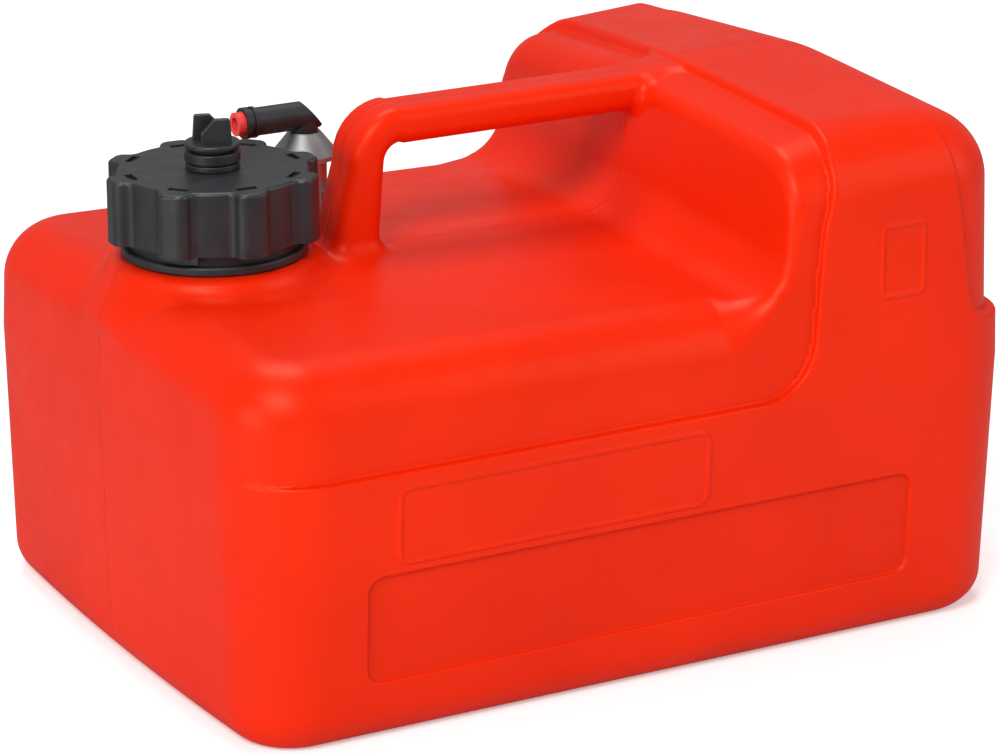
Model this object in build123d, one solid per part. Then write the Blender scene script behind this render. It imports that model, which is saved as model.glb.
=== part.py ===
from build123d import *
import math
import os

# Tank overall
LENGTH = 372.0
WIDTH = 284.0
WALL = 4.0
BELT_TOP = 116.6
BELT_STEP = 3.0
TOP_Z = 230.0
HUMP_RISE = 67.0
FRONT_BOW = 5.0
SIDE_DRAFT = 2.4
UPPER_DRAFT = 1.2
FRONT_CORNER_R = 33.0
REAR_CORNER_R = 31.0
FLOOR_R = 15.0
DECK_R = 22.0
DECK_CROWN = 5.0
DECK_TILT = 1.0

# Hump at the rear end
HUMP_LENGTH = 118.0
HUMP_SWEEP = 9.0
HUMP_FOOT_R = 20.0
HUMP_CROWN = 10.0
HUMP_FALL = 0.1
REAR_FALL = 0.06
FRONT_SHOULDER_R = 36.0
LIP_DROP = 7.0
LIP_FALL = 0.105
LIP_SHOULDER_R = 30.0
LIP_R = 9.0
LIP_CORNER_R = 20.0
LIP_SIDE_GAP = 0.6
LIP_ROOT = 30.0
SADDLE_LENGTH = 104.0
SADDLE_ROOT = 60.0
SADDLE_BEND_R = 26.0
SADDLE_LEAN = 15.0
REAR_BAND = 36.0
REAR_ROOT = 47.0
HUMP_R = 26.0
REAR_SHELF_Z = 137.0

# Handle
HANDLE_WIDTH = 27.0
HANDLE_THICK = 16.0
HANDLE_DROP = 2.0
HANDLE_ROOT = 40.0
HANDLE_BEND_R = 24.0
HANDLE_INNER_R = 7.0
HANDLE_R = 6.5
POST_SETBACK = 115.0
POST_WAIST = 27.0

# Moulded frames on the long sides
PANEL_MARGIN = 55.0
PANEL_HEIGHT = 46.0
PANEL_MID_Z = 49.7
PANEL_DEPTH = 1.0
FRAME_LENGTH = 145.0
FRAME_HEIGHT = 32.0
FRAME_SETBACK = 141.0
FRAME_MID_Z = 93.7
FRAME_LINE = 1.8
FRAME_RISE = 0.8

# Filler neck and cap
CAP_SETBACK = 55.0
NECK_R = 33.5
NECK_WALL = 4.0
NECK_RISE = 38.8
COLLAR_R = 43.5
COLLAR_RISE = 11.0
RING_R = 39.4
RING_HEIGHT = 4.2
RING_SLEEVE_R = 36.4
CAP_BODY_R = 40.4
CAP_LOBE_R = 46.3
CAP_LOBES = 8
CAP_LOBE_TURN = -3.0
CAP_LOBE_WIDTH = 14.0
CAP_LOBE_ROUND = 4.6
CAP_VALLEY_R = 4.0
CAP_HEIGHT = 27.5
CAP_PLATE = 3.2
INNER_WALL = 3.2
INNER_PLATE = 3.0
GASKET_THICK = 2.5
THREAD_GAP = 0.4
SLOT_R = 36.5
SLOT_LENGTH = 9.0
SLOT_DEPTH = 3.4
LUG_TURN = 231.0

# Vent in the cap
VENT_R = 11.8
SLEEVE_RISE = 7.6
SLEEVE_STEM_R = 7.0
SCREW_STEM_R = 4.2
SCREW_HEAD = 2.2
WING_HEIGHT = 11.0
WING_LOW = 5.0
WING_WIDTH = 13.0
WING_TOP = 7.5
WING_THICK = 2.8
WING_TURN = -19.0
WING_SPREAD = 4.4
WING_STAGGER = 1.4
VENT_RING = 1.4
NUT_HEIGHT = 5.0
WASHER_THICK = 1.2

# Fuel outlet
OUTLET_SETBACK = 123.5
OUTLET_Y = 52.0
BOSS_R = 20.0
BOSS_RISE = 6.0
INSERT_R = 12.0
SHANK_R = 8.5
BASE_R = 14.6
STEM_R = 9.6
KNURL_RING_R = 12.6
KNURL_HEIGHT = 10.0
CONE_HEIGHT = 9.5
BASE_RISE = 41.5
SPIGOT_R = 5.5
BARREL_RISE = 48.6
BARREL_R = 6.2
LEG_R = 6.0
BARREL_LENGTH = 30.0
PORT_R = 4.6
PORT_DEPTH = 17.0
BEVEL_RUN = 8.2
BEVEL_DROP = 10.0
TUBE_R = 4.0
TUBE_BORE_R = 2.9
STRAINER_R = 7.5
STRAINER_HEIGHT = 24.0
PLUG_HEAD_R = 5.2
KNURLS = 28
TUBE_SEAT = 10.0
TUBE_LOW_Z = 18.0
CLIP_THICK = 1.2
GASKET_BASE = 1.6

# Clearances
PRESS = 0.02
RUN = 0.08
SEAT = 0.3

# Derived places
REAR_X = LENGTH / 2
FRONT_X = -LENGTH / 2
HALF_WIDTH = WIDTH / 2
DECK_Z = TOP_Z - HUMP_RISE
HUMP_FRONT_X = REAR_X - HUMP_LENGTH
SADDLE_FRONT_X = REAR_X - SADDLE_LENGTH
SADDLE_BACK_X = REAR_X - REAR_BAND
LIP_Z = TOP_Z - LIP_DROP
HANDLE_TOP_Z = TOP_Z - HANDLE_DROP
POST_FRONT_X = FRONT_X + POST_SETBACK
WAIST_Z = DECK_Z + POST_WAIST
PANEL_LENGTH = LENGTH - 2 * PANEL_MARGIN
FRAME_MID_X = FRONT_X + FRAME_SETBACK
CAP_X = FRONT_X + CAP_SETBACK
COLLAR_TOP_Z = DECK_Z + COLLAR_RISE
NECK_TOP_Z = DECK_Z + NECK_RISE
OUTLET_X = FRONT_X + OUTLET_SETBACK
BOSS_TOP_Z = DECK_Z + BOSS_RISE
BASE_TOP_Z = DECK_Z + BASE_RISE
BARREL_Z = DECK_Z + BARREL_RISE
CAP_TOP_Z = NECK_TOP_Z + GASKET_THICK + INNER_PLATE + CAP_PLATE
CAP_FOOT_Z = CAP_TOP_Z - CAP_HEIGHT
SLEEVE_TOP_Z = CAP_TOP_Z + SLEEVE_RISE
INNER_R = NECK_R + THREAD_GAP + INNER_WALL
WASHER_TOP_Z = NECK_TOP_Z + GASKET_THICK
NUT_Z = WASHER_TOP_Z - WASHER_THICK - NUT_HEIGHT
BASE_FOOT_Z = BOSS_TOP_Z + GASKET_BASE
SHANK_LOW_Z = DECK_Z - 14
SPIGOT_LOW_Z = BASE_TOP_Z - 15
CLIP_Z = SPIGOT_LOW_Z + 2.5
SEAL_Z = SPIGOT_LOW_Z + 8
CLIP_SEAT_R = SPIGOT_R - 0.9
SEAL_SEAT_R = SPIGOT_R - 1.6


def outline(front, rear, half_width, bow, front_corner, rear_corner):
    """Plan outline with a bowed front end and rounded corners."""
    near = Line((front, -half_width), (rear, -half_width))
    back = Line((rear, -half_width), (rear, half_width))
    far = Line((rear, half_width), (front, half_width))
    bowed = ThreePointArc((front, half_width), (front - bow, 0), (front, -half_width))
    face = make_face([near, back, far, bowed])
    ends = face.vertices().group_by(Axis.X)
    face = fillet(ends[-1], rear_corner)
    ends = face.vertices().group_by(Axis.X)
    return fillet(ends[0], front_corner)


def tapered(face, start_z, end_z, draft):
    """Raise or lower a plan outline from start_z to end_z, shrinking by the draft angle."""
    block = extrude(face, amount=abs(end_z - start_z), taper=draft)
    if end_z < start_z:
        block = mirror(block, about=Plane.XY)
    return Pos(0, 0, start_z) * block


def crowned(block, top_z, drop, tilt=0.0):
    """Trim a block's top to a long arch that falls to the sides and, when tilted, to the rear."""
    radius = (HALF_WIDTH ** 2 + drop ** 2) / (2 * drop)
    arch = Pos(0, 0, -radius) * Rot(0, 90, 0) * Cylinder(radius, 2 * LENGTH)
    return block & Pos(0, 0, top_z) * Rot(0, tilt, 0) * arch


def arch_round(block, radius):
    """Round the edges around an arched top."""
    return fillet(block.faces().sort_by(Axis.Z)[-1].edges(), radius)


def arch_section(x, foot_half, top_half, ridge_z, fall, radius):
    """Cross-section of the hump: a top that falls to both sides, broad shoulders and leaning sides."""
    foot = BELT_TOP - 20
    shoulder = ridge_z - fall * top_half
    points = [
        (-foot_half, foot),
        (foot_half, foot),
        (top_half, shoulder),
        (0, ridge_z),
        (-top_half, shoulder),
    ]
    face = make_face(Polyline(*points, close=True))
    corners = face.vertices().filter_by(lambda v: abs(v.Y - shoulder) < 0.01)
    section = Plane.YZ.offset(x) * fillet(corners, radius)
    return section.face()


def belt_block(inset):
    """Lower belt of the tank, widest at its top."""
    plan = outline(
        FRONT_X + FRONT_BOW + inset,
        REAR_X - inset,
        HALF_WIDTH - inset,
        FRONT_BOW,
        FRONT_CORNER_R - inset,
        REAR_CORNER_R - inset,
    )
    block = tapered(plan, BELT_TOP, inset, SIDE_DRAFT)
    return fillet(block.edges().group_by(Axis.Z)[0], FLOOR_R - inset / 2)


def deck_block(inset):
    """Upper tank body below the deck, set in from the belt at the sides."""
    plan = outline(
        FRONT_X + FRONT_BOW + inset + 0.6,
        REAR_X - BELT_STEP - inset,
        HALF_WIDTH - BELT_STEP - inset,
        FRONT_BOW,
        FRONT_CORNER_R - inset,
        REAR_CORNER_R - inset,
    )
    top = DECK_Z + DECK_CROWN / 2 - inset
    block = crowned(tapered(plan, BELT_TOP - 20, top + 5, UPPER_DRAFT), top, DECK_CROWN, DECK_TILT)
    return arch_round(block, DECK_R - inset)


def lip_block(inset):
    """Front of the hump below the saddle: a swept wall with rounded corners under an arched top."""
    side = HALF_WIDTH - BELT_STEP - 1.6 - inset
    front = HUMP_FRONT_X + inset
    flank = front + HUMP_SWEEP
    back = SADDLE_BACK_X - 20
    wall = ThreePointArc((flank, side), (front, 0), (flank, -side))
    rest = Polyline((flank, -side), (back, -side), (back, side), (flank, side))
    face = make_face([wall, rest])
    corners = face.vertices().filter_by(lambda v: abs(v.X - flank) < 0.01)
    face = fillet(corners, LIP_CORNER_R - inset)
    low = DECK_Z - LIP_ROOT
    top = LIP_Z - inset
    block = Pos(0, 0, low) * extrude(face, amount=top + 1 - low, dir=(0, 0, 1))
    half = side + LIP_SIDE_GAP
    arch = extrude(arch_section(0, half, half, top, LIP_FALL, LIP_SHOULDER_R - inset), amount=LENGTH)
    block = block & arch
    brow = block.edges().filter_by(lambda e: e.center().Z > WAIST_Z and e.center().X < flank + LIP_CORNER_R)
    brow = brow.filter_by(lambda e: abs(e.tangent_at(0.5).X) < 0.9 and e.length > 0.5)
    return fillet(brow, LIP_R)


def foot_profile(nose, radius, deck):
    """Side profile of the hollow foot where the deck turns up into the hump wall."""
    low = deck - LIP_ROOT
    back = nose + LIP_ROOT
    half = math.sqrt(0.5)
    start = nose - radius
    arc = ThreePointArc(
        (start, deck),
        (start + radius * half, deck + radius * (1 - half)),
        (nose, deck + radius),
    )
    rest = Polyline(arc @ 1, (back, deck + radius), (back, low), (start, low), arc @ 0)
    return make_face([arc, rest])


def foot_block():
    """Hollow foot of the hump wall, fading out towards both sides."""
    side = HALF_WIDTH - BELT_STEP - LIP_CORNER_R / 2
    sink = math.tan(math.radians(DECK_TILT)) * (HUMP_FRONT_X - HUMP_FOOT_R)
    sections = []
    for share, radius in ((0.0, HUMP_FOOT_R), (0.8, HUMP_FOOT_R * 0.8), (1.0, HUMP_FOOT_R * 0.2)):
        nose = HUMP_FRONT_X + HUMP_SWEEP * share ** 2
        deck = DECK_Z + DECK_CROWN * (0.5 - share ** 2) - sink - 0.2
        section = Plane.XZ.offset(side * share) * foot_profile(nose, radius, deck)
        sections.append(section.face())
    near = loft(sections, ruled=True)
    return near + mirror(near, about=Plane.XZ)


def rear_block(inset):
    """Rear of the hump, set in from the saddle."""
    plan = outline(
        SADDLE_BACK_X - REAR_ROOT + inset,
        REAR_X - BELT_STEP - inset,
        HALF_WIDTH - BELT_STEP - inset,
        0.5,
        REAR_CORNER_R,
        REAR_CORNER_R - inset / 2,
    )
    top = TOP_Z - BELT_STEP - inset
    block = crowned(tapered(plan, BELT_TOP - 10, top + 1, UPPER_DRAFT), top, HUMP_CROWN)
    return arch_round(block, HUMP_R)


def saddle_block():
    """Raised band that climbs from the belt over the hump."""
    plan = outline(
        SADDLE_FRONT_X - SADDLE_ROOT,
        REAR_X,
        HALF_WIDTH,
        0.5,
        REAR_CORNER_R,
        REAR_CORNER_R,
    )
    lean = math.tan(math.radians(UPPER_DRAFT))
    foot_half = HALF_WIDTH + 20 * lean + 0.05
    top_half = HALF_WIDTH - (TOP_Z - BELT_TOP) * lean + 0.05
    stations = (
        (SADDLE_FRONT_X - SADDLE_ROOT, HUMP_FALL, FRONT_SHOULDER_R),
        (SADDLE_FRONT_X + SADDLE_LEAN, HUMP_FALL, FRONT_SHOULDER_R),
        (SADDLE_BACK_X, REAR_FALL, HUMP_R),
        (REAR_X + 10, REAR_FALL, HUMP_R),
    )
    sections = [arch_section(x, foot_half, top_half, TOP_Z, fall, radius) for x, fall, radius in stations]
    envelope = tapered(plan, BELT_TOP, TOP_Z + 1, UPPER_DRAFT) & loft(sections, ruled=True)
    bend = SADDLE_BEND_R
    front = SADDLE_FRONT_X
    back = SADDLE_BACK_X
    sweep = JernArc((front - bend, BELT_TOP), (1, 0), bend, 88)
    rise = Line(sweep @ 1, (front + 5, TOP_Z - 22))
    slant = Line(rise @ 1, (front + SADDLE_LEAN, TOP_Z + 4))
    over = Line(slant @ 1, (back - 7, TOP_Z + 4))
    fall = Line(over @ 1, (back + 7, REAR_SHELF_Z + 16))
    shelf = ThreePointArc(
        fall @ 1,
        (back + 11, REAR_SHELF_Z + 5),
        (back + 21, REAR_SHELF_Z),
    )
    tail = Polyline(
        shelf @ 1,
        (REAR_X + 10, REAR_SHELF_Z),
        (REAR_X + 10, BELT_TOP - 8),
        (front - bend, BELT_TOP - 8),
        (front - bend, BELT_TOP),
    )
    profile = make_face([sweep, rise, slant, over, fall, shelf, tail])
    band = extrude(Plane.XZ * profile, amount=WIDTH, both=True)
    return envelope & band


def handle_block():
    """Handle bar and post in one bent strip along the middle of the tank."""
    top = HANDLE_TOP_Z
    under = HANDLE_TOP_Z - HANDLE_THICK
    front = POST_FRONT_X
    back = POST_FRONT_X + HANDLE_THICK + 1
    end = HUMP_FRONT_X + HANDLE_ROOT
    points = [
        (end, top),
        (front, top),
        (front - 3, WAIST_Z),
        (front - 9, DECK_Z + 6),
        (front - 22, DECK_Z - 4),
        (back + 10, DECK_Z - 4),
        (back - 1, DECK_Z + 6),
        (back - 1, WAIST_Z),
        (back, under),
        (end, under),
    ]
    face = make_face(Polyline(*points, close=True))
    corners = face.vertices()
    outer = corners.filter_by(lambda v: abs(v.X - front) < 0.01 and abs(v.Y - top) < 0.01)
    face = fillet(outer, HANDLE_BEND_R)
    inner = face.vertices().filter_by(lambda v: abs(v.X - back) < 0.01 and abs(v.Y - under) < 0.01)
    face = fillet(inner, HANDLE_INNER_R)
    soft = face.vertices().filter_by(lambda v: DECK_Z < v.Y < WAIST_Z + 1)
    face = fillet(soft, 8)
    strip = extrude(Plane.XZ * face, amount=HANDLE_WIDTH / 2, both=True)
    side_edges = strip.edges().filter_by(lambda e: abs(abs(e.center().Y) - HANDLE_WIDTH / 2) < 0.01)
    long_edges = side_edges.filter_by(lambda e: e.center().X < end - 1 and e.center().Z > DECK_Z - 3)
    return fillet(long_edges, HANDLE_R)


def side_plane(x, z, side):
    """Work plane on a long side of the belt, facing out, following its draft."""
    lean = math.tan(math.radians(SIDE_DRAFT))
    y = HALF_WIDTH - (BELT_TOP - z) * lean
    outward = Vector(0, side, -lean)
    return Plane(origin=(x, side * y, z), x_dir=(1, 0, 0), z_dir=outward)


def make_tank():
    """Hollow tank with neck, boss, handle and moulded frames."""
    body = belt_block(0) + deck_block(0) + rear_block(0) + saddle_block() + lip_block(0)
    body += foot_block()
    body += handle_block()
    collar_height = COLLAR_TOP_Z - DECK_Z + 6
    collar = Pos(CAP_X, 0, DECK_Z - 6) * Cone(
        COLLAR_R + 6, COLLAR_R, collar_height, align=(Align.CENTER, Align.CENTER, Align.MIN)
    )
    body += fillet(collar.edges().sort_by(Axis.Z)[-1], 2.5)
    body += rod(CAP_X, 0, NECK_R, DECK_Z - 10, NECK_TOP_Z)
    boss_height = BOSS_TOP_Z - DECK_Z + 6
    boss = Pos(OUTLET_X, OUTLET_Y, DECK_Z - 6) * Cone(
        BOSS_R + 2, BOSS_R, boss_height, align=(Align.CENTER, Align.CENTER, Align.MIN)
    )
    body += fillet(boss.edges().sort_by(Axis.Z)[-1], 1.5)
    for side in (-1, 1):
        panel = RectangleRounded(PANEL_LENGTH, PANEL_HEIGHT, 7)
        body -= extrude(side_plane(0, PANEL_MID_Z, side) * panel, amount=PANEL_DEPTH, both=True)
        outer = RectangleRounded(FRAME_LENGTH, FRAME_HEIGHT, 5)
        inner = RectangleRounded(FRAME_LENGTH - 2 * FRAME_LINE, FRAME_HEIGHT - 2 * FRAME_LINE, 4)
        line = side_plane(FRAME_MID_X, FRAME_MID_Z, side) * (outer - inner)
        body += extrude(line, amount=FRAME_RISE, both=True)
    hollow = belt_block(WALL) + deck_block(WALL) + rear_block(WALL) + lip_block(WALL)
    body -= hollow
    body -= rod(CAP_X, 0, NECK_R - NECK_WALL, DECK_Z - 20, NECK_TOP_Z + 5)
    body -= rod(OUTLET_X, OUTLET_Y, INSERT_R + PRESS, DECK_Z - 20, BOSS_TOP_Z + 5)
    return body


def rod(x, y, radius, low, high):
    """Upright cylinder between two heights."""
    return Pos(x, y, low) * Cylinder(radius, high - low, align=(Align.CENTER, Align.CENTER, Align.MIN))


def tube(x, y, outer, inner, low, high):
    """Upright tube between two heights."""
    return rod(x, y, outer, low, high) - rod(x, y, inner, low - 1, high + 1)


def cap_plan():
    """Cap outline: rounded grip lobes on a round body."""
    plan = Circle(CAP_BODY_R)
    reach = CAP_LOBE_R - CAP_LOBE_WIDTH / 2
    for spot in PolarLocations(reach, CAP_LOBES, start_angle=CAP_LOBE_TURN):
        plan += spot * RectangleRounded(CAP_LOBE_WIDTH, CAP_LOBE_WIDTH, CAP_LOBE_ROUND)
    return plan


def slot_spots(z):
    """Places of the snap slots near the cap rim."""
    return [Pos(CAP_X, 0, z) * spot for spot in PolarLocations(SLOT_R, CAP_LOBES, start_angle=CAP_LOBE_TURN)]


def make_cap_shell():
    """Outer cap with grip lobes, top slots and a stop lug under the skirt."""
    shell = extrude(cap_plan(), amount=CAP_HEIGHT)
    valleys = shell.edges().filter_by(Axis.Z)
    valleys = valleys.filter_by(lambda e: abs(math.hypot(e.center().X, e.center().Y) - CAP_BODY_R) < 0.01)
    shell = fillet(valleys, CAP_VALLEY_R)
    shell = Pos(CAP_X, 0, CAP_FOOT_Z) * fillet(shell.edges().group_by(Axis.Z)[-1], 1.6)
    shell -= rod(CAP_X, 0, INNER_R + PRESS, CAP_FOOT_Z - 5, CAP_TOP_Z - CAP_PLATE)
    for spot in slot_spots(CAP_TOP_Z - CAP_PLATE / 2):
        shell -= spot * Box(SLOT_DEPTH, SLOT_LENGTH, CAP_PLATE + 2)
    shell -= rod(CAP_X, 0, SLEEVE_STEM_R + PRESS, CAP_FOOT_Z, CAP_TOP_Z + 5)
    lug = Pos(INNER_R + 2.4, 0, -1) * Box(2.2, 6, 4)
    return shell + Pos(CAP_X, 0, CAP_FOOT_Z) * Rot(0, 0, LUG_TURN) * lug


def make_inner_cap():
    """Threaded cup inside the cap with a snap lug in each slot."""
    top = CAP_TOP_Z - CAP_PLATE
    cup = rod(CAP_X, 0, INNER_R, CAP_FOOT_Z + 1, top)
    cup -= rod(CAP_X, 0, NECK_R + THREAD_GAP, CAP_FOOT_Z - 1, top - INNER_PLATE)
    for spot in slot_spots(top + CAP_PLATE * 0.3 - 0.5):
        cup += spot * Box(SLOT_DEPTH - 0.6, SLOT_LENGTH - 0.6, CAP_PLATE * 0.6 + 1)
    return cup - rod(CAP_X, 0, SLEEVE_STEM_R + PRESS, CAP_FOOT_Z, CAP_TOP_Z)


def make_cap_gasket():
    """Flat seal on the neck rim."""
    return tube(CAP_X, 0, NECK_R, NECK_R - NECK_WALL, NECK_TOP_Z, NECK_TOP_Z + GASKET_THICK)


def make_neck_ring():
    """Ring around the foot of the neck: a flange with a soft edge and a sleeve up to the cap."""
    flange_z = COLLAR_TOP_Z + RING_HEIGHT
    ring = rod(CAP_X, 0, RING_R, COLLAR_TOP_Z, flange_z)
    ring = fillet(ring.edges().filter_by(GeomType.CIRCLE), 1.2)
    ring += rod(CAP_X, 0, RING_SLEEVE_R, flange_z - 1, CAP_FOOT_Z - SEAT)
    return ring - rod(CAP_X, 0, NECK_R + PRESS, COLLAR_TOP_Z - 1, CAP_FOOT_Z)


def make_vent_sleeve():
    """Ringed vent post through the cap."""
    low = CAP_TOP_Z + SLEEVE_RISE * 0.34
    high = SLEEVE_TOP_Z - SLEEVE_RISE * 0.58
    post = rod(CAP_X, 0, VENT_R - 0.4, CAP_TOP_Z, low)
    post += rod(CAP_X, 0, VENT_R - 1.8, low, high)
    post += rod(CAP_X, 0, VENT_R, high, SLEEVE_TOP_Z)
    rims = post.edges().filter_by(GeomType.CIRCLE).filter_by(lambda e: e.radius > VENT_R - 1)
    post = fillet(rims, 0.6)
    post += rod(CAP_X, 0, SLEEVE_STEM_R, NUT_Z - 1, CAP_TOP_Z)
    return post - rod(CAP_X, 0, SCREW_STEM_R + RUN, NUT_Z - 5, SLEEVE_TOP_Z + 5)


def make_sleeve_washer():
    """Seal washer between the inner cap and its nut."""
    return tube(CAP_X, 0, VENT_R - 1, SLEEVE_STEM_R + PRESS, NUT_Z + NUT_HEIGHT, WASHER_TOP_Z)


def make_sleeve_nut():
    """Six-sided nut inside the cap."""
    blank = extrude(RegularPolygon(VENT_R - 0.6, 6), amount=NUT_HEIGHT)
    return Pos(CAP_X, 0, NUT_Z) * blank - rod(CAP_X, 0, SLEEVE_STEM_R + PRESS, NUT_Z - 1, NUT_Z + 20)


def make_vent_o_ring():
    """Round seal under the vent screw head."""
    return Pos(CAP_X, 0, SLEEVE_TOP_Z + VENT_RING / 2) * Torus(VENT_R - 3.2, VENT_RING / 2)


def make_wing():
    """Thumb fin of the vent screw: an upright plate that slopes down towards one end."""
    half = WING_WIDTH / 2
    points = [
        (-half, 0),
        (half, 0),
        (half - 0.8, WING_HEIGHT),
        (half - WING_TOP, WING_HEIGHT),
        (-half, WING_LOW),
    ]
    face = make_face(Polyline(*points, close=True))
    upper = face.vertices().filter_by(lambda v: v.Y > 1)
    plate = extrude(Plane.XZ * fillet(upper, 1.2), amount=WING_THICK / 2, both=True)
    rims = plate.edges().filter_by(lambda e: e.center().Z > 1 and abs(e.center().Y) > WING_THICK / 2 - 0.01)
    return Pos(WING_STAGGER, -WING_SPREAD, 0) * fillet(rims, 0.6)


def make_vent_screw():
    """Vent screw: stem, head disc and two thumb wings."""
    seat = SLEEVE_TOP_Z + VENT_RING
    head = rod(CAP_X, 0, VENT_R, seat, seat + SCREW_HEAD)
    head = fillet(head.edges().filter_by(GeomType.CIRCLE), 0.7)
    screw = head + rod(CAP_X, 0, SCREW_STEM_R, NUT_Z - 4, seat + 1)
    for turn in (WING_TURN, WING_TURN + 180):
        screw += Pos(CAP_X, 0, seat + SCREW_HEAD - 0.4) * Rot(0, 0, turn) * make_wing()
    return screw


def make_port_insert():
    """Metal insert in the outlet boss."""
    return tube(OUTLET_X, OUTLET_Y, INSERT_R, SHANK_R + PRESS, DECK_Z - WALL - 3, BOSS_TOP_Z)


def make_base_gasket():
    """Flat seal under the outlet base."""
    return tube(OUTLET_X, OUTLET_Y, BASE_R + 1.5, SHANK_R + PRESS, BOSS_TOP_Z, BASE_FOOT_Z)


def make_outlet_base():
    """Bright screwed base: knurled ring, stem, cone and shank."""
    ring_z = BASE_FOOT_Z + KNURL_HEIGHT
    cone_z = BASE_TOP_Z - CONE_HEIGHT
    base = rod(OUTLET_X, OUTLET_Y, KNURL_RING_R, BASE_FOOT_Z, ring_z)
    for spot in PolarLocations(KNURL_RING_R, KNURLS):
        base += Pos(OUTLET_X, OUTLET_Y, BASE_FOOT_Z + 1) * spot * extrude(Circle(0.8), amount=KNURL_HEIGHT - 2)
    base += rod(OUTLET_X, OUTLET_Y, STEM_R, ring_z, cone_z)
    base += rod(OUTLET_X, OUTLET_Y, BASE_R, cone_z - 2, cone_z)
    base += Pos(OUTLET_X, OUTLET_Y, cone_z) * Cone(
        BASE_R, SPIGOT_R + 1.5, CONE_HEIGHT, align=(Align.CENTER, Align.CENTER, Align.MIN)
    )
    base += rod(OUTLET_X, OUTLET_Y, SHANK_R, SHANK_LOW_Z, BASE_FOOT_Z)
    base -= rod(OUTLET_X, OUTLET_Y, SPIGOT_R + RUN, SPIGOT_LOW_Z - SEAT, BASE_TOP_Z + 5)
    base -= rod(OUTLET_X, OUTLET_Y, SPIGOT_R + 1.2, CLIP_Z - SEAT, CLIP_Z + CLIP_THICK + SEAT)
    base -= rod(OUTLET_X, OUTLET_Y, TUBE_BORE_R, SHANK_LOW_Z - 1, SPIGOT_LOW_Z)
    return base - rod(OUTLET_X, OUTLET_Y, TUBE_R + PRESS, SHANK_LOW_Z - 1, SHANK_LOW_Z + TUBE_SEAT)


def along_x(radius, start, end):
    """Cylinder along the fuel port axis between two X places."""
    lying = Rot(0, 90, 0) * Cylinder(radius, end - start, align=(Align.CENTER, Align.CENTER, Align.MIN))
    return Pos(start, OUTLET_Y, BARREL_Z) * lying


def make_outlet_elbow():
    """Elbow: spigot in the base, a mitred corner and a horizontal barrel with a beaded mouth."""
    mouth = OUTLET_X - BARREL_LENGTH
    end = OUTLET_X + BARREL_R
    top = BARREL_Z + BARREL_R
    elbow = rod(OUTLET_X, OUTLET_Y, LEG_R, BASE_TOP_Z + SEAT, BARREL_Z + 1) + along_x(BARREL_R, mouth, end)
    corners = [
        (end - BEVEL_RUN, top),
        (end, top - BEVEL_DROP),
        (end + BEVEL_RUN, top - BEVEL_DROP),
        (end + BEVEL_RUN, top + BEVEL_RUN),
        (end - BEVEL_RUN, top + BEVEL_RUN),
    ]
    bevel = Plane.XZ.offset(-OUTLET_Y) * make_face(Polyline(*corners, close=True))
    elbow -= extrude(bevel, amount=2 * BARREL_R, both=True)
    elbow += along_x(BARREL_R + 0.7, mouth, mouth + 2.6)
    elbow += along_x(BARREL_R + 0.7, mouth + 4, mouth + 5.6)
    elbow += rod(OUTLET_X, OUTLET_Y, SPIGOT_R, SPIGOT_LOW_Z, BASE_TOP_Z + 1)
    elbow -= along_x(PORT_R, mouth - 5, mouth + PORT_DEPTH)
    elbow -= along_x(TUBE_BORE_R, mouth, OUTLET_X - 0.5)
    elbow -= rod(OUTLET_X, OUTLET_Y, TUBE_BORE_R, SPIGOT_LOW_Z - 5, BARREL_Z - 2)
    elbow -= tube(OUTLET_X, OUTLET_Y, SPIGOT_R + 1, CLIP_SEAT_R, CLIP_Z - 0.1, CLIP_Z + CLIP_THICK + 0.1)
    return elbow - tube(OUTLET_X, OUTLET_Y, SPIGOT_R + 1, SEAL_SEAT_R, SEAL_Z - 1, SEAL_Z + 1)


def make_elbow_o_ring():
    """Round seal in the spigot groove."""
    thick = (SPIGOT_R + RUN - SEAL_SEAT_R) / 2 - 0.01
    return Pos(OUTLET_X, OUTLET_Y, SEAL_Z) * Torus(SEAL_SEAT_R + thick + 0.01, thick)


def make_elbow_clip():
    """Open spring ring that keeps the elbow in the base."""
    ring = tube(OUTLET_X, OUTLET_Y, SPIGOT_R + 0.9, CLIP_SEAT_R + PRESS, CLIP_Z, CLIP_Z + CLIP_THICK)
    return ring - Pos(OUTLET_X + SPIGOT_R, OUTLET_Y, CLIP_Z) * Box(8, 3, 8)


def make_pickup_tube():
    """Straight tube from the base to the strainer."""
    return tube(OUTLET_X, OUTLET_Y, TUBE_R, TUBE_BORE_R, TUBE_LOW_Z, SHANK_LOW_Z + TUBE_SEAT)


def make_strainer_cage():
    """Open cage: collar, posts and foot disc."""
    low = TUBE_LOW_Z - 10
    high = low + STRAINER_HEIGHT
    cage = rod(OUTLET_X, OUTLET_Y, STRAINER_R, low, low + 2)
    cage += tube(OUTLET_X, OUTLET_Y, STRAINER_R, TUBE_R + PRESS, high - 5, high)
    for spot in PolarLocations(STRAINER_R - 0.9, 6):
        cage += Pos(OUTLET_X, OUTLET_Y, low + 1) * spot * extrude(Rectangle(1.8, 2.4), amount=high - low - 4)
    return cage


def make_strainer_mesh():
    """Filter sleeve just inside the cage posts."""
    low = TUBE_LOW_Z - 8
    high = low + STRAINER_HEIGHT - 7
    return tube(OUTLET_X, OUTLET_Y, STRAINER_R - 2.0, STRAINER_R - 2.6, low, high)


def make_port_plug():
    """Hollow transport plug in the fuel port."""
    mouth = OUTLET_X - BARREL_LENGTH
    plug = along_x(PORT_R - RUN, mouth, mouth + 12)
    plug += along_x(PLUG_HEAD_R, mouth - 3.5, mouth)
    return plug - along_x(PORT_R - 1.5, mouth - 5, mouth + 10)


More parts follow.
